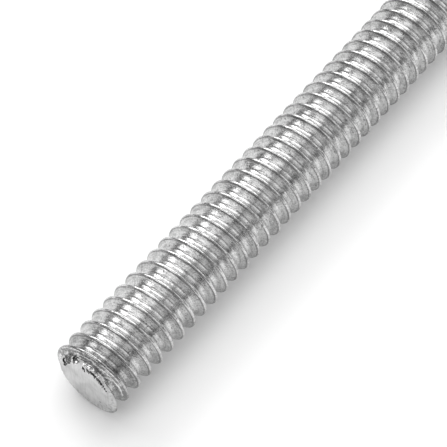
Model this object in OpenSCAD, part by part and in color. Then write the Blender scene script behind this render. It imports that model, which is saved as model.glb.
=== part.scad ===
// Steel rod, threaded over its whole length and cut square at both ends.
// It lies along +X, with the centre of one cut end at the origin.
// The solid is the cylinder that the crests of the thread touch, so a nut or a hole is tried
// against the rod's largest size. The thread itself is finer than a construction solid needs.

/* [Rod] */
// Diameter over the crests of the thread
crest_d = 6.1; // [2:0.05:40]
// Length from one cut end to the other
rod_length = 152.4; // [25:0.1:2000]

/* [Hidden] */
ROUND_STEPS = 96;

module threaded_rod() {
    color("silver")
        rotate([0, 90, 0])
            cylinder(h = rod_length, d = crest_d, $fn = ROUND_STEPS);
}

threaded_rod();
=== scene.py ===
"""The look of a zinc-plated steel rod, threaded over its whole length.

The construction model gives the rod's length and its diameter over the crests. This script rolls the
thread itself, cuts both ends, gives the steel its plated finish and lays the rod on a pale table.
All lengths are in metres. The rod lies along +X, with its near cut end at X = 0.
"""
import math
import random

import bpy
from bpy.props import FloatProperty, FloatVectorProperty, IntProperty, PointerProperty
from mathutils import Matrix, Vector


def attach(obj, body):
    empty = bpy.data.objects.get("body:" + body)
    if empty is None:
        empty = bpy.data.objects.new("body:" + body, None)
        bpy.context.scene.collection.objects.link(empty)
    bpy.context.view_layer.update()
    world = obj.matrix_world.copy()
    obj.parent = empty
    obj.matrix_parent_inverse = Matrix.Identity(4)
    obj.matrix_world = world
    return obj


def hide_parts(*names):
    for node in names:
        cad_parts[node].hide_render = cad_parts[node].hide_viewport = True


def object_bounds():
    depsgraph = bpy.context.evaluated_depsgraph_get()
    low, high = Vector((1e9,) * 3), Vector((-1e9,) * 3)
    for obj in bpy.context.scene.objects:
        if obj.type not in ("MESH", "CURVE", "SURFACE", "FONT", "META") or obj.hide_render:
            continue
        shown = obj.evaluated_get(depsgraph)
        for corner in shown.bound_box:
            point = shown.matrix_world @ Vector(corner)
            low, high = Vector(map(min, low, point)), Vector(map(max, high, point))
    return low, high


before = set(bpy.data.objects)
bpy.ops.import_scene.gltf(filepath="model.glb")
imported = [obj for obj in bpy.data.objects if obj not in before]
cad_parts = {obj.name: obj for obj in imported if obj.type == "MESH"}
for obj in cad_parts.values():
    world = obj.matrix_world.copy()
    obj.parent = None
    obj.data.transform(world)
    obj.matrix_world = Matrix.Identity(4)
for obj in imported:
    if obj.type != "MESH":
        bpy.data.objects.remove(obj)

bl_info = {
    "name": "Threaded Rod",
    "version": (1, 0, 0),
    "blender": (4, 5, 0),
    "location": "View3D > Sidebar > Rod",
    "description": "Models a rolled thread on a cut steel rod and lights it on a table",
    "category": "Add Mesh",
}

CAD_LOW, CAD_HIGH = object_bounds()
ROD_LENGTH = CAD_HIGH[0] - CAD_LOW[0]
CREST_RADIUS = (CAD_HIGH[2] - CAD_LOW[2]) / 2
MM = 0.001

# Points this close are one point.
WELD = 1e-7
# Straight steps in the rounded bottom of the groove, on one side of it, and in half a crest.
ARC_STEPS = 3
# Turns wound past each end before the ends are cut.
SPARE_TURNS = 2
# Edges that turn less than this are shaded as smooth.
SMOOTH_ANGLE = math.radians(40)
# Faces that lean less than this from a cut belong to the cut or to its worn rim.
RIM_LEAN = math.radians(27)
# How much the facets of a worn rim differ: in their place, as a part of their spacing, in how far in
# they reach, in millimetres, and in their slope, in degrees.
FACET_DRIFT = 0.25
FACET_REACH = 0.05
FACET_SLOPE = 2
# The pebbles that carve or build up the torn end: how rough they are, as a part of their size, and
# how far each is turned aside, in radians.
LUMP_ROUGHNESS = 0.16
LUMP_TURN = 0.2


# ---------------------------------------------------------------- settings

class ThreadSettings(bpy.types.PropertyGroup):
    """Sizes of the thread."""

    pitch: FloatProperty(
        name="Pitch",
        description="Distance along the rod from one crest to the next",
        default=1.27 * MM,
        unit="LENGTH",
        precision=5,
    )
    flank_angle: FloatProperty(
        name="Flank Angle",
        description="Angle between a flank and a plane square to the rod",
        default=math.radians(30),
        subtype="ANGLE",
    )
    crest_round: FloatProperty(
        name="Crest Radius",
        description="Radius of the rounded crest",
        default=0.15 * MM,
        unit="LENGTH",
        precision=5,
    )
    root_round: FloatProperty(
        name="Root Radius",
        description="Radius of the rounded bottom of the groove",
        default=0.28 * MM,
        unit="LENGTH",
        precision=5,
    )
    start_angle: FloatProperty(
        name="Start Angle",
        description="Where a crest meets the near cut end, turned from +Y towards +Z",
        default=math.radians(195),
        subtype="ANGLE",
    )
    steps: IntProperty(
        name="Steps",
        description="Facets in one turn of the thread",
        default=48,
        min=12,
        max=96,
    )


class EndSettings(bpy.types.PropertyGroup):
    """Sizes of the cut ends, which are worn at the rim and torn on one side."""

    face_radius: FloatProperty(
        name="Face Radius",
        description="Mean radius of the flat part of a cut end",
        default=2.25 * MM,
        unit="LENGTH",
        precision=5,
    )
    face_shift: FloatProperty(
        name="Face Shift",
        description="How far the flat part lies off the axis, away from the torn side",
        default=0.75 * MM,
        unit="LENGTH",
        precision=5,
    )
    torn_side: FloatProperty(
        name="Torn Side",
        description="Middle of the torn side, turned from +Y towards +Z",
        default=math.radians(85),
        subtype="ANGLE",
    )
    rim_tilt: FloatProperty(
        name="Rim Tilt",
        description="Slope of the worn rim, from the plane of the cut",
        default=math.radians(12),
        subtype="ANGLE",
    )
    torn_tilt: FloatProperty(
        name="Torn Tilt",
        description="How much steeper the rim is on the torn side",
        default=math.radians(11),
        subtype="ANGLE",
    )
    stub_length: FloatProperty(
        name="Stub Length",
        description="Length of the end that is worked on by itself",
        default=4 * MM,
        unit="LENGTH",
    )
    facets: IntProperty(
        name="Facets",
        description="Slanted facets round the rim of one end",
        default=22,
        min=6,
        max=40,
    )


class FinishSettings(bpy.types.PropertyGroup):
    """Colours of the steel."""

    plate_colour: FloatVectorProperty(
        name="Plate",
        description="Colour of the bright zinc plate",
        default=(0.78, 0.78, 0.78),
        size=3,
        min=0,
        max=1,
        subtype="COLOR",
    )
    # This colour is also used for the painted shade on the near flanks, their lips and the cut
    # face's border.
    dull_and_shade_colour: FloatVectorProperty(
        name="Dull Plate",
        description="Colour of the plate where it is dull, in pits, scratches and scuffs",
        default=(0.22, 0.22, 0.22),
        size=3,
        min=0,
        max=1,
        subtype="COLOR",
    )
    face_colour: FloatVectorProperty(
        name="Cut Face",
        description="Colour of the cut ends",
        default=(0.64, 0.64, 0.64),
        size=3,
        min=0,
        max=1,
        subtype="COLOR",
    )
    # The torn steel's dark colour is also painted shade in the carved hollows and cracks.
    torn_and_shade_colour: FloatVectorProperty(
        name="Torn Steel",
        description="Darkest colour of the steel in the hollows of the torn rim",
        default=(0.14, 0.14, 0.14),
        size=3,
        min=0,
        max=1,
        subtype="COLOR",
    )


class StageSettings(bpy.types.PropertyGroup):
    """Camera, table and lights."""

    camera_distance: FloatProperty(
        name="Camera Distance",
        description="Distance from the camera to the point that it looks at",
        default=151.35 * MM,
        unit="LENGTH",
    )
    camera_azimuth: FloatProperty(
        name="Camera Azimuth",
        description="Turn of the camera round the rod, from the -Y side",
        default=math.radians(-51.61),
        subtype="ANGLE",
    )
    camera_elevation: FloatProperty(
        name="Camera Elevation",
        description="Height of the camera above the table, as an angle",
        default=math.radians(58.85),
        subtype="ANGLE",
    )
    focal_length: FloatProperty(
        name="Focal Length",
        description="Focal length on a 36 mm sensor",
        default=162.42,
        unit="CAMERA",
    )
    aim_along: FloatProperty(
        name="Aim Along",
        description="How far from the near end the camera looks at the rod",
        default=16.63 * MM,
        unit="LENGTH",
    )
    aim_across: FloatProperty(
        name="Aim Across",
        description="How far beside the rod's axis the camera looks",
        default=0.51 * MM,
        unit="LENGTH",
    )
    table_colour: FloatVectorProperty(
        name="Table",
        description="Colour of the table",
        default=(0.88, 0.88, 0.88),
        size=3,
        min=0,
        max=1,
        subtype="COLOR",
    )
    lamp_distance: FloatProperty(
        name="Lamp Distance",
        description="Distance from the rod to each lamp",
        default=0.8,
        unit="LENGTH",
    )
    table_glow: FloatProperty(
        name="Table Glow",
        description="Light that the table adds of its own where it is seen, to bring it to white",
        default=0.12,
        min=0,
        max=1,
    )
    room_light: FloatProperty(
        name="Room Light",
        description="Brightness of the pale room all round",
        default=0.31,
        min=0,
        max=1,
    )


# ---------------------------------------------------------------- modelling helpers

def deselect_all():
    """Leaves nothing selected, so that an operator acts only on what is added next."""
    if bpy.context.object and bpy.context.object.mode != "OBJECT":
        bpy.ops.object.mode_set(mode="OBJECT")
    bpy.ops.object.select_all(action="DESELECT")


def select_whole_mesh():
    """Goes into edit mode on the active piece, with all of its mesh selected."""
    bpy.ops.object.mode_set(mode="EDIT")
    bpy.ops.mesh.select_mode(type="VERT")
    bpy.ops.mesh.select_all(action="SELECT")


# ---------------------------------------------------------------- the rod

def tooth_outline(sizes):
    """Points of one pitch of the thread's outline, from the bottom of one groove to the next.

    Each is a distance along the rod and a radius. The crest and the groove are round, and the
    straight flanks run on from their arcs.
    """
    lean = math.pi / 2 - sizes.flank_angle
    reach = (sizes.crest_round + sizes.root_round) * math.sin(lean)
    drop = (sizes.crest_round + sizes.root_round) * (1 - math.cos(lean))
    depth = drop + (sizes.pitch / 2 - reach) * math.tan(lean)
    root_radius = CREST_RADIUS - depth
    root_arc = [lean * i / ARC_STEPS for i in range(ARC_STEPS + 1)]
    crest_arc = [lean * (i / ARC_STEPS - 1) for i in range(2 * ARC_STEPS + 1)]
    points = [
        (sizes.root_round * math.sin(a), root_radius + sizes.root_round * (1 - math.cos(a)))
        for a in root_arc
    ]
    points += [
        (
            sizes.pitch / 2 + sizes.crest_round * math.sin(a),
            CREST_RADIUS - sizes.crest_round * (1 - math.cos(a)),
        )
        for a in crest_arc
    ]
    near_arc = points[: len(root_arc)]
    points += [(sizes.pitch - along, radius) for along, radius in reversed(near_arc)]
    return points


def draw_outline(points, start):
    """Draws the outline as a line of edges, by extruding a single vertex from point to point."""
    deselect_all()
    first = (start + points[0][0], points[0][1], 0)
    bpy.ops.mesh.primitive_plane_add(size=MM)
    rod = bpy.context.object
    select_whole_mesh()
    bpy.ops.mesh.merge(type="CENTER")
    bpy.ops.transform.translate(value=first)
    for here, there in zip(points, points[1:]):
        step = (there[0] - here[0], there[1] - here[1], 0)
        bpy.ops.mesh.extrude_region_move(TRANSFORM_OT_translate={"value": step})
    bpy.ops.object.mode_set(mode="OBJECT")
    return rod


def roll_thread(rod, sizes, turns):
    """Winds the outline round the rod's axis, turn after turn, into one closed helical skin."""
    screw = rod.modifiers.new("Thread", "SCREW")
    screw.axis = "X"
    screw.angle = math.tau
    screw.screw_offset = sizes.pitch
    screw.iterations = turns
    screw.steps = sizes.steps
    screw.render_steps = sizes.steps
    screw.use_smooth_shade = True
    bpy.ops.object.modifier_apply(modifier=screw.name)
    select_whole_mesh()
    bpy.ops.mesh.remove_doubles(threshold=WELD)
    bpy.ops.object.mode_set(mode="OBJECT")


def ring_point(angle, radius, along=0.0):
    """The point at an angle round the rod, turned from +Y towards +Z, and at a radius."""
    return Vector((along, radius * math.cos(angle), radius * math.sin(angle)))


def make_active(piece):
    """Selects one piece alone, for the operators that follow."""
    deselect_all()
    bpy.context.view_layer.objects.active = piece
    piece.select_set(True)


def cut_away(position, facing, close=True):
    """Cuts off what lies past a plane, and closes the cut with a flat face."""
    select_whole_mesh()
    bpy.ops.mesh.bisect(
        plane_co=position,
        plane_no=facing,
        use_fill=close,
        clear_outer=True,
        threshold=WELD,
    )
    bpy.ops.object.mode_set(mode="OBJECT")


def split_off(rod, joint, outwards):
    """Takes the stub past a plane off the rod, closed there, so that fine work on it is quick."""
    make_active(rod)
    bpy.ops.object.duplicate()
    stub = bpy.context.object
    cut_away((joint, 0, 0), (-outwards, 0, 0))
    make_active(rod)
    cut_away((joint, 0, 0), (outwards, 0, 0), close=False)
    return stub


def weld_on(rod, stub, joint):
    """Opens the stub again where it was split off, and welds it back onto the rod."""
    make_active(stub)
    bpy.ops.object.mode_set(mode="EDIT")
    bpy.ops.mesh.select_mode(type="FACE")
    bpy.ops.mesh.select_all(action="DESELECT")
    bpy.ops.object.mode_set(mode="OBJECT")
    for polygon in stub.data.polygons:
        polygon.select = abs(polygon.center.x - joint) < WELD
    bpy.ops.object.mode_set(mode="EDIT")
    bpy.ops.mesh.delete(type="ONLY_FACE")
    bpy.ops.object.mode_set(mode="OBJECT")
    make_active(rod)
    stub.select_set(True)
    bpy.ops.object.join()
    select_whole_mesh()
    bpy.ops.mesh.remove_doubles(threshold=WELD)
    bpy.ops.object.mode_set(mode="OBJECT")


def wear_rim(ends, end, outwards, torn, seed):
    """Wears the rim of one end down in slanted facets, wider and steeper where torn is 1.

    Outwards is -1 at the near end and 1 at the far end, and torn is 0 for an even rim.
    """
    draw = random.Random(seed)
    for number in range(ends.facets):
        drift = draw.uniform(-FACET_DRIFT, FACET_DRIFT)
        angle = math.tau * (number + drift) / ends.facets
        side = torn * math.cos(angle - ends.torn_side)
        reach = draw.uniform(-FACET_REACH, FACET_REACH) * MM
        inner = ends.face_radius - ends.face_shift * side + reach
        slope = math.radians(draw.uniform(-FACET_SLOPE, FACET_SLOPE))
        tilt = ends.rim_tilt + ends.torn_tilt * side + slope
        facing = ring_point(angle, math.sin(tilt), outwards * math.cos(tilt))
        cut_away(ring_point(angle, inner, end), facing)


# What the saw tore out of the near end. Each row has the angle round the rod in degrees, the radius
# and the place along the rod, then the hollow's half size along, round and outwards, all in
# millimetres, and how far it slants, in degrees.
HOLLOWS = (
    (27, 2.14, 0.04, 0.34, 0.42, 0.27, 0),
    (43, 2.26, 0.12, 0.38, 0.42, 0.32, 0),
    (57, 2.38, 0.24, 0.34, 0.32, 0.28, 0),
    (17, 1.96, 0.00, 0.18, 0.20, 0.11, 20),
    (41, 1.96, 0.06, 0.16, 0.24, 0.13, -10),
    (66, 2.30, 0.24, 0.32, 0.20, 0.30, 0),
    (335, 2.42, 0.01, 0.12, 0.12, 0.08, 0),
    (87, 1.84, 0.12, 0.24, 0.24, 0.110, 45),
    (98, 1.94, 0.14, 0.24, 0.24, 0.115, 35),
    (106, 2.02, 0.16, 0.22, 0.18, 0.110, 45),
    (112, 2.05, 0.16, 0.22, 0.16, 0.130, 30),
    (118, 2.10, 0.16, 0.20, 0.12, 0.080, 40),
    (124, 2.07, 0.13, 0.22, 0.17, 0.140, 25),
    (130, 2.12, 0.12, 0.18, 0.11, 0.075, 35),
    (136, 2.10, 0.10, 0.20, 0.15, 0.125, 20),
    (142, 2.15, 0.08, 0.16, 0.10, 0.070, 30),
    (148, 2.15, 0.06, 0.16, 0.14, 0.095, 15),
    (154, 2.18, 0.05, 0.14, 0.12, 0.080, 25),
    (160, 2.22, 0.04, 0.12, 0.11, 0.065, 10),
    (178, 2.32, 0.00, 0.03, 0.16, 0.10, 0),
    (226, 1.94, 0.00, 0.02, 0.12, 0.08, 0),
)
# The burrs that the saw left standing there, in the same way.
BURRS = (
    (62, 2.44, 0.20, 0.20, 0.06, 0.18, 0),
    (60, 2.08, 0.10, 0.16, 0.05, 0.16, 0),
    (70, 2.20, 0.14, 0.16, 0.12, 0.12, 20),
    (34, 2.12, 0.10, 0.06, 0.05, 0.18, 0),
    (86, 1.76, 0.10, 0.06, 0.18, 0.045, 45),
    (90, 2.36, 0.28, 0.13, 0.26, 0.130, 10),
    (100, 2.40, 0.29, 0.13, 0.28, 0.130, 10),
    (111, 2.42, 0.29, 0.12, 0.26, 0.110, 10),
    (121, 2.42, 0.27, 0.09, 0.24, 0.080, 5),
    (102, 1.94, 0.12, 0.10, 0.12, 0.035, 45),
    (117, 2.02, 0.11, 0.10, 0.13, 0.040, 45),
    (130, 2.06, 0.08, 0.09, 0.13, 0.040, 40),
    (142, 2.10, 0.05, 0.08, 0.12, 0.035, 40),
)


def add_lumps(places, material, seed):
    """Adds one rough pebble at each place, all one mesh, to carve the rod with or build it up."""
    draw = random.Random(seed)
    deselect_all()
    lumps = []
    for degrees, radius, along, length, width, height, slant in places:
        angle = math.radians(degrees)
        bpy.ops.mesh.primitive_ico_sphere_add(subdivisions=2, radius=1)
        lump = bpy.context.object
        select_whole_mesh()
        bumps = draw.randrange(1, 1000)
        bpy.ops.transform.vertex_random(offset=LUMP_ROUGHNESS, uniform=1.0, seed=bumps)
        bpy.ops.object.mode_set(mode="OBJECT")
        lump.scale = (length * MM, height * MM, width * MM)
        lump.rotation_euler = (
            angle + math.radians(slant),
            draw.uniform(-LUMP_TURN, LUMP_TURN),
            draw.uniform(-LUMP_TURN, LUMP_TURN),
        )
        lump.location = ring_point(angle, radius * MM, along * MM)
        bpy.ops.object.transform_apply(location=True, rotation=True, scale=True)
        lump.data.materials.append(material)
        lumps.append(lump)
    for lump in lumps:
        lump.select_set(True)
    bpy.ops.object.join()
    return bpy.context.object


def combine(rod, lumps, operation):
    """Carves the lumps out of the rod or adds them to it, and then removes them."""
    make_active(rod)
    change = rod.modifiers.new("Tear", "BOOLEAN")
    change.object = lumps
    change.operation = operation
    change.solver = "EXACT"
    change.use_self = True
    change.material_mode = "TRANSFER"
    bpy.ops.object.modifier_apply(modifier=change.name)
    bpy.data.objects.remove(lumps)


def finish_end(stub, face, outwards):
    """Gives the flat cut and its worn rim their own finish, and keeps their edges sharp."""
    materials = stub.data.materials
    if face.name not in materials:
        materials.append(face)
    number = list(materials).index(face)
    for polygon in stub.data.polygons:
        plated = polygon.material_index == 0
        if plated and polygon.normal.x * outwards >= math.cos(RIM_LEAN):
            polygon.material_index = number
            polygon.use_smooth = False


class ROD_OT_threaded_rod(bpy.types.Operator):
    """Model the rod: its rolled thread and its two cut ends"""

    bl_idname = "rod.threaded_rod"
    bl_label = "Threaded Rod"

    def execute(self, context):
        sizes = context.scene.rod_thread
        ends = context.scene.rod_ends
        finish = context.scene.rod_finish
        turns = math.ceil(ROD_LENGTH / sizes.pitch) + 2 * SPARE_TURNS
        crest_at_zero = -sizes.pitch * sizes.start_angle / math.tau
        start = crest_at_zero - sizes.pitch / 2 - SPARE_TURNS * sizes.pitch
        rod = draw_outline(tooth_outline(sizes), start)
        rod.name = "threaded_rod_steel"
        roll_thread(rod, sizes, turns)
        select_whole_mesh()
        bpy.ops.mesh.normals_make_consistent(inside=False)
        bpy.ops.object.mode_set(mode="OBJECT")
        bpy.ops.object.shade_smooth_by_angle(angle=SMOOTH_ANGLE)
        rod.data.materials.append(zinc_plate(finish, sizes))
        face = sawn_face(finish)
        torn = torn_and_shaded_steel(finish)
        near_joint = CAD_LOW[0] + ends.stub_length
        near_stub = split_off(rod, near_joint, -1)
        self.tear_near_end(near_stub, ends, torn)
        finish_end(near_stub, face, -1)
        weld_on(rod, near_stub, near_joint)
        far_joint = CAD_HIGH[0] - ends.stub_length
        far_stub = split_off(rod, far_joint, 1)
        self.cut_far_end(far_stub, ends)
        finish_end(far_stub, face, 1)
        weld_on(rod, far_stub, far_joint)
        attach(rod, "root")
        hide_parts("threaded_rod")
        return {"FINISHED"}

    def tear_near_end(self, stub, ends, torn):
        """Cuts the near end, wears its rim, tears hollows out of it and leaves burrs on it."""
        make_active(stub)
        cut_away((CAD_LOW[0], 0, 0), (-1, 0, 0))
        wear_rim(ends, CAD_LOW[0], outwards=-1, torn=1, seed=4)
        # The hollows take the dark torn steel, which also paints shade into them.
        combine(stub, add_lumps(HOLLOWS, torn, seed=21), "DIFFERENCE")
        combine(stub, add_lumps(BURRS, stub.data.materials[0], seed=22), "UNION")

    def cut_far_end(self, stub, ends):
        """Cuts the far end, and wears its rim evenly."""
        make_active(stub)
        cut_away((CAD_HIGH[0], 0, 0), (1, 0, 0))
        wear_rim(ends, CAD_HIGH[0], outwards=1, torn=0, seed=9)


# ---------------------------------------------------------------- materials

class Shading:
    """Adds nodes to a material and links them, a line for each."""

    def __init__(self, name):
        self.material = bpy.data.materials.new(name)
        self.material.use_nodes = True
        self.nodes = self.material.node_tree.nodes
        self.links = self.material.node_tree.links
        self.shader = self.nodes["Principled BSDF"]

    def add(self, kind, inputs=None, **settings):
        """Adds a node, sets it, and links or sets its inputs, which are named or numbered."""
        node = self.nodes.new("ShaderNode" + kind)
        for name, value in settings.items():
            setattr(node, name, value)
        for key, value in (inputs or {}).items():
            self.feed(node.inputs[key], value)
        return node

    def feed(self, socket, value):
        """Links a socket to another node's output, or sets it to a plain value."""
        if isinstance(value, bpy.types.NodeSocket):
            self.links.new(value, socket)
        else:
            socket.default_value = value

    def math(self, operation, first, second=0.0):
        """A sum, a product or another plain calculation."""
        return self.add("Math", {0: first, 1: second}, operation=operation).outputs[0]

    def fade(self, value, start, end, low=0.0, high=1.0):
        """Turns a value from start to end into low to high, smoothly, and holds it outside them."""
        inputs = {
            "Value": value,
            "From Min": start,
            "From Max": end,
            "To Min": low,
            "To Max": high,
        }
        node = self.add("MapRange", inputs, interpolation_type="SMOOTHSTEP")
        return node.outputs["Result"]

    def band(self, value, rise, full, wane, end):
        """One where a value lies between full and wane, and nought before rise and past end."""
        growing = self.fade(value, rise, full)
        waning = self.fade(value, wane, end, low=1.0, high=0.0)
        return self.math("MULTIPLY", growing, waning)

    def share(self, value, amount):
        """A value times a plain amount."""
        return self.math("MULTIPLY", value, amount)

    def total(self, *values):
        """The sum of several values."""
        result = values[0]
        for value in values[1:]:
            result = self.math("ADD", result, value)
        return result

    def noise(self, place, scale, detail, fourth=None):
        """Noise between 0 and 1, one half on the average. Where the place is in metres, the scale
        is per metre.
        """
        inputs = {"Vector": place, "Scale": scale, "Detail": detail, "Roughness": 0.6}
        if fourth is not None:
            inputs["W"] = fourth
        kind = "3D" if fourth is None else "4D"
        return self.add("TexNoise", inputs, noise_dimensions=kind).outputs[0]

    def blend(self, amount, first, second):
        """A colour between two others."""
        node = self.add("Mix", {0: amount, 6: first, 7: second}, data_type="RGBA")
        return node.outputs[2]

    def relief(self, height, depth):
        """A surface that is raised by a height from 0 to 1, over a depth in metres."""
        return self.add("Bump", {"Height": height, "Distance": depth, "Strength": 1.0}).outputs[0]


# Bands across the thread: where each starts, is full, wanes and ends. They are parts of one pitch,
# where 0 is the bottom of the groove and one half is the crest.
# Painted shade on the near flank, deepening towards its lip.
NEAR_FLANK_SHADE = (0.05, 0.40, 0.395, 0.43)
# A thin line of painted shade along the lip.
LIP_SHADE = (0.355, 0.385, 0.40, 0.425)
# Painted light on the far flank.
FAR_FLANK_LIGHT = (0.58, 0.70, 0.92, 1.0)
# Scuffs and painted shade on the first flank near the cut.
SCUFFED_SHADED_FLANK = (0.0, 0.1, 0.395, 0.43)
LIP_LINE = (0.370, 0.382, 0.395, 0.408)
SCORED_LINE = (0.258, 0.270, 0.280, 0.294)

# Stretches of the rod that the saw has marked, from the near cut, in the same way.
LINED_STRETCH = (0.45 * MM, 0.60 * MM, 0.90 * MM, 1.05 * MM)
DULLED_STRETCH = (0.35 * MM, 0.55 * MM, 1.2 * MM, 3.2 * MM)
SCUFFS_WANE = 0.9 * MM
SCUFFS_END = 1.3 * MM

# How much faster the marks drift from turn to turn in their second direction than in their first.
SECOND_DRIFT = 1.37

# How far the surface rises and falls, over the whole depth of its marks.
PLATE_RELIEF = 0.008 * MM
FACE_RELIEF = 0.003 * MM
TORN_RELIEF = 0.03 * MM


def zinc_plate(finish, sizes):
    """Bright zinc plate on rolled steel: drawn along the thread, fanned across it, pitted, patchy,
    marked by saw scuffs near the cut, with painted shade on the near flanks and their lips, and
    painted light on the far flanks.

    The marks follow the helix, so they are placed by the angle round the rod and by the place
    across the thread, where 0 is the bottom of the groove and one half is the crest.
    """
    mat = Shading("zinc_plate")
    place = mat.add("TexCoord").outputs["Object"]
    axes = mat.add("SeparateXYZ", {0: place}).outputs
    turns_along = mat.share(axes[0], 1 / sizes.pitch)
    beside = mat.share(axes[1], 1 / CREST_RADIUS)
    above = mat.share(axes[2], 1 / CREST_RADIUS)
    turned = mat.share(mat.math("ARCTAN2", axes[2], axes[1]), 1 / math.tau)
    start = sizes.start_angle / math.tau + 0.5
    across = mat.math("ADD", mat.math("SUBTRACT", turns_along, turned), start)
    across_angle = mat.share(across, math.tau)
    swing = mat.math("COSINE", across_angle)
    sway = mat.math("SINE", across_angle)

    def marks(fine_across, fine_along, drift, detail):
        """Noise that follows the thread, finer or coarser across it and along it, with no seam.

        It drifts from turn to turn, in two directions that never bring it back to the same marks.
        """
        first = mat.share(swing, fine_across)
        second = mat.share(sway, fine_across)
        third = mat.total(mat.share(beside, fine_along), mat.share(turns_along, drift))
        second_drift = SECOND_DRIFT * drift
        fourth = mat.total(mat.share(above, fine_along), mat.share(turns_along, second_drift))
        place_round = mat.add("CombineXYZ", {0: first, 1: second, 2: third}).outputs[0]
        return mat.noise(place_round, 1.0, detail, fourth)

    drawn = marks(fine_across=3.2, fine_along=3.0, drift=1.7, detail=3.0)
    scored = marks(fine_across=9.0, fine_along=4.0, drift=2.3, detail=2.0)
    fanned = marks(fine_across=0.5, fine_along=30.0, drift=1.9, detail=2.0)
    streaks = marks(fine_across=0.4, fine_along=15.0, drift=2.9, detail=1.0)
    pits = mat.noise(place, scale=4200.0, detail=1.0)
    patches = mat.noise(place, scale=1100.0, detail=3.0)
    grain = mat.noise(place, scale=7000.0, detail=3.0)

    # Painted shade darkens the near flank towards its lip and lies in a thin line along the lip, and
    # painted light brightens the far flank. The saw has dulled the first turn and groove, and
    # streaked the first flank with scuffing that also carries painted shade; it has brightened the
    # first flank's lip, and scored one ragged bright line along it.
    within = mat.math("FRACT", across)
    near_cut = mat.fade(axes[0], SCUFFS_WANE, SCUFFS_END, low=1.0, high=0.0)
    # Streaks of scuffing on the first flank, which also paint shade onto it.
    scuffed_and_shaded = mat.math("MULTIPLY", near_cut, mat.band(within, *SCUFFED_SHADED_FLANK))
    scuffed_and_shaded = mat.math("MULTIPLY", scuffed_and_shaded, mat.fade(streaks, 0.43, 0.57, low=-0.20, high=0.65))
    ragged = mat.math("ADD", within, mat.fade(drawn, 0.38, 0.62, low=-0.02, high=0.02))
    bright_lines = mat.total(mat.band(within, *LIP_LINE), mat.band(ragged, *SCORED_LINE))
    lined = mat.band(axes[0], *LINED_STRETCH)
    dull_and_shade = mat.total(
        mat.fade(drawn, 0.42, 0.66, high=0.30),
        mat.fade(patches, 0.45, 0.65, high=0.25),
        mat.fade(fanned, 0.42, 0.62, high=0.25),
        mat.fade(grain, 0.46, 0.64, high=0.20),
        mat.fade(pits, 0.66, 0.72, high=0.50),
        # Painted shade on the near flank and along its lip.
        mat.share(mat.band(within, *NEAR_FLANK_SHADE), 0.20),
        mat.share(mat.band(within, *LIP_SHADE), 0.45),
        scuffed_and_shaded,
        mat.share(mat.band(axes[0], *DULLED_STRETCH), 0.35),
        mat.share(mat.math("MULTIPLY", lined, bright_lines), -1.4),
        # Painted light on the far flank.
        mat.share(mat.band(within, *FAR_FLANK_LIGHT), -0.35),
    )
    dull_and_shade = mat.math("MAXIMUM", mat.math("MINIMUM", dull_and_shade, 1.0), 0.0)
    colour = mat.blend(dull_and_shade, (*finish.plate_colour, 1), (*finish.dull_and_shade_colour, 1))
    mat.feed(mat.shader.inputs["Base Color"], colour)
    mat.shader.inputs["Metallic"].default_value = 1.0
    rough = mat.total(
        mat.fade(scored, 0.35, 0.65, low=0.13, high=0.24),
        mat.fade(patches, 0.45, 0.6, low=0.06, high=0.0),
    )
    mat.feed(mat.shader.inputs["Roughness"], rough)

    height = mat.total(
        mat.share(drawn, 1.1),
        mat.share(scored, 0.5),
        mat.share(fanned, 0.8),
        mat.share(grain, 0.4),
        mat.fade(pits, 0.66, 0.74, high=-0.8),
    )
    mat.feed(mat.shader.inputs["Normal"], mat.relief(height, PLATE_RELIEF))
    return mat.material


def sawn_face(finish):
    """Satin steel of a cut end: faint marks of the saw, a mottled rim, and a dark ring of painted
    shade round its border.
    """
    mat = Shading("sawn_face")
    place = mat.add("TexCoord").outputs["Object"]
    stretch = mat.add("Mapping", {"Vector": place, "Scale": (1.0, 1.0, 0.12)}).outputs[0]
    saw_marks = mat.noise(stretch, scale=7000.0, detail=2.0)
    clouds = mat.noise(place, scale=900.0, detail=2.0)
    spots = mat.noise(place, scale=3200.0, detail=2.0)
    axes = mat.add("SeparateXYZ", {0: place}).outputs
    beside_squared = mat.math("POWER", axes[1], 2)
    above_squared = mat.math("POWER", axes[2], 2)
    radius = mat.math("SQRT", mat.total(beside_squared, above_squared))
    rim = mat.fade(radius, 1.9 * MM, 2.5 * MM)
    # A dark ring of painted shade round the border of the cut face.
    painted_shade_ring = mat.fade(radius, 2.78 * MM, 2.98 * MM)
    dull_and_shade = mat.total(
        mat.fade(saw_marks, 0.4, 0.7, high=0.18),
        mat.fade(clouds, 0.4, 0.7, high=0.2),
        mat.math("MULTIPLY", rim, mat.fade(spots, 0.45, 0.62, high=0.45)),
        mat.share(painted_shade_ring, 0.4),
    )
    colour = mat.blend(dull_and_shade, (*finish.face_colour, 1), (*finish.dull_and_shade_colour, 1))
    mat.feed(mat.shader.inputs["Base Color"], colour)
    mat.shader.inputs["Metallic"].default_value = 1.0
    mat.feed(mat.shader.inputs["Roughness"], mat.fade(clouds, 0.35, 0.65, low=0.36, high=0.46))
    height = mat.total(saw_marks, mat.math("MULTIPLY", rim, mat.share(spots, 3.0)))
    mat.feed(mat.shader.inputs["Normal"], mat.relief(height, FACE_RELIEF))
    return mat.material


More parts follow.
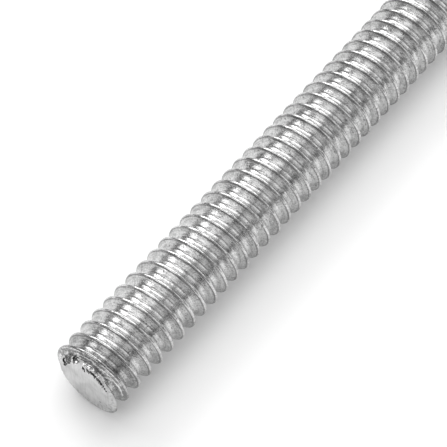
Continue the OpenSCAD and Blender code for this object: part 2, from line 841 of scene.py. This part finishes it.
def torn_and_shaded_steel(finish):
    """Steel that was torn by the cut: rough, dulled and darkest in its pits. It lines the carved
    hollows and cracks, so its dark colour is also painted shade there.
    """
    mat = Shading("torn_and_shaded_steel")
    place = mat.add("TexCoord").outputs["Object"]
    crumbs = mat.noise(place, scale=5200.0, detail=3.0)
    tears = mat.noise(place, scale=1900.0, detail=2.0)
    dull_and_shade = mat.total(
        mat.fade(crumbs, 0.3, 0.5, low=0.3, high=0.7),
        mat.fade(tears, 0.4, 0.6, high=0.3),
    )
    colour = mat.blend(dull_and_shade, (*finish.face_colour, 1), (*finish.torn_and_shade_colour, 1))
    mat.feed(mat.shader.inputs["Base Color"], colour)
    mat.shader.inputs["Metallic"].default_value = 1.0
    mat.feed(mat.shader.inputs["Roughness"], mat.fade(tears, 0.35, 0.65, low=0.24, high=0.42))
    mat.feed(mat.shader.inputs["Normal"], mat.relief(crumbs, TORN_RELIEF))
    return mat.material


def table_top(stage):
    """Pale table, lit by the lamps, so that it keeps the rod's shadow. A little light of its own
    brings it to white where it is seen, directly or in the metal.
    """
    mat = Shading("table_top")
    mat.shader.inputs["Roughness"].default_value = 0.9
    mat.shader.inputs["Specular IOR Level"].default_value = 0.2
    mat.shader.inputs["Base Color"].default_value = (*stage.table_colour, 1)
    rays = mat.add("LightPath").outputs
    seen = mat.math("MAXIMUM", rays["Is Camera Ray"], rays["Is Glossy Ray"])
    seen = mat.math("MAXIMUM", seen, rays["Is Transmission Ray"])
    mat.shader.inputs["Emission Color"].default_value = (1, 1, 1, 1)
    mat.feed(mat.shader.inputs["Emission Strength"], mat.math("MULTIPLY", seen, stage.table_glow))
    return mat.material


# ---------------------------------------------------------------- the stage

def view_direction(azimuth, elevation):
    """The way from the rod to the camera or a lamp. Azimuth 0 is -Y, and it turns towards +X."""
    return Vector(
        (
            math.sin(azimuth) * math.cos(elevation),
            -math.cos(azimuth) * math.cos(elevation),
            math.sin(elevation),
        )
    )


# The soft lamps: azimuth and elevation in degrees, width and height, and brightness.
LAMPS = (
    ("window", 168, 40, 0.62, 0.26, 3.7),
    ("overhead", 100, 73, 0.55, 0.72, 1.55),
    ("far_side", 128, 42, 1.00, 0.62, 1.7),
    ("front", 13, 41, 0.75, 0.51, 0.8),
    ("near_side", 251, 45, 0.46, 0.40, 1.7),
)

# The width of the camera's sensor, in millimetres, and the nearest and the farthest that it sees.
SENSOR_WIDTH = 36
NEAREST_SEEN = 0.01
FARTHEST_SEEN = 10

# The length of each side of the square table.
TABLE_SIZE = 6


def add_soft_box(name, azimuth, elevation, width, height, brightness):
    """Adds a soft rectangular lamp that faces the rod, where a brightness of 1 looks white."""
    deselect_all()
    stage = bpy.context.scene.rod_stage
    away = view_direction(math.radians(azimuth), math.radians(elevation))
    aim = Vector((stage.aim_along, stage.aim_across, 0))
    bpy.ops.object.light_add(type="AREA", location=aim + away * stage.lamp_distance)
    lamp = bpy.context.object
    lamp.name = name
    lamp.rotation_euler = away.to_track_quat("Z", "Y").to_euler()
    lamp.data.shape = "RECTANGLE"
    lamp.data.size = width
    lamp.data.size_y = height
    lamp.data.energy = math.pi * width * height * brightness


class ROD_OT_stage(bpy.types.Operator):
    """Set the rod on a pale table, in soft light, in front of the camera"""

    bl_idname = "rod.stage"
    bl_label = "Stage"

    def execute(self, context):
        stage = context.scene.rod_stage
        self.add_camera(context, stage)
        self.add_table(stage)
        self.add_lights(context, stage)
        context.scene.view_settings.view_transform = "Standard"
        return {"FINISHED"}

    def add_camera(self, context, stage):
        """Puts the camera up beside the near end, looking down along the rod."""
        deselect_all()
        back = view_direction(stage.camera_azimuth, stage.camera_elevation)
        aim = Vector((stage.aim_along, stage.aim_across, 0))
        bpy.ops.object.camera_add(location=aim + back * stage.camera_distance)
        camera = bpy.context.object
        camera.rotation_euler = back.to_track_quat("Z", "Y").to_euler()
        camera.data.lens = stage.focal_length
        camera.data.sensor_width = SENSOR_WIDTH
        camera.data.clip_start = NEAREST_SEEN
        camera.data.clip_end = FARTHEST_SEEN
        context.scene.camera = camera

    def add_table(self, stage):
        """Adds the table top, which the rod rests on."""
        deselect_all()
        bpy.ops.mesh.primitive_plane_add(size=TABLE_SIZE, location=(0, 0, CAD_LOW[2]))
        table = bpy.context.object
        table.name = "table"
        table.data.materials.append(table_top(stage))

    def add_lights(self, context, stage):
        """Adds the soft lamps and the pale room."""
        for name, azimuth, elevation, width, height, brightness in LAMPS:
            add_soft_box(name, azimuth, elevation, width, height, brightness)
        world = bpy.data.worlds.new("room")
        context.scene.world = world
        world.use_nodes = True
        background = world.node_tree.nodes["Background"]
        background.inputs["Color"].default_value = (1, 1, 1, 1)
        background.inputs["Strength"].default_value = stage.room_light


# ---------------------------------------------------------------- the add-on

class ROD_PT_panel(bpy.types.Panel):
    """Lists the steps and their settings in the sidebar"""

    bl_idname = "ROD_PT_panel"
    bl_label = "Threaded Rod"
    bl_space_type = "VIEW_3D"
    bl_region_type = "UI"
    bl_category = "Rod"

    def draw(self, context):
        scene = context.scene
        for settings, operator in (
            (scene.rod_thread, "rod.threaded_rod"),
            (scene.rod_ends, None),
            (scene.rod_finish, None),
            (scene.rod_stage, "rod.stage"),
        ):
            box = self.layout.box()
            for name in settings.bl_rna.properties.keys():
                if name not in ("rna_type", "name"):
                    box.prop(settings, name)
            if operator:
                box.operator(operator)


CLASSES = (
    ThreadSettings,
    EndSettings,
    FinishSettings,
    StageSettings,
    ROD_OT_threaded_rod,
    ROD_OT_stage,
    ROD_PT_panel,
)


def register():
    for cls in CLASSES:
        bpy.utils.register_class(cls)
    bpy.types.Scene.rod_thread = PointerProperty(type=ThreadSettings)
    bpy.types.Scene.rod_ends = PointerProperty(type=EndSettings)
    bpy.types.Scene.rod_finish = PointerProperty(type=FinishSettings)
    bpy.types.Scene.rod_stage = PointerProperty(type=StageSettings)


def unregister():
    del bpy.types.Scene.rod_stage
    del bpy.types.Scene.rod_finish
    del bpy.types.Scene.rod_ends
    del bpy.types.Scene.rod_thread
    for cls in reversed(CLASSES):
        bpy.utils.unregister_class(cls)


def main():
    register()
    bpy.ops.rod.threaded_rod()
    bpy.ops.rod.stage()


if __name__ == "__main__":
    main()
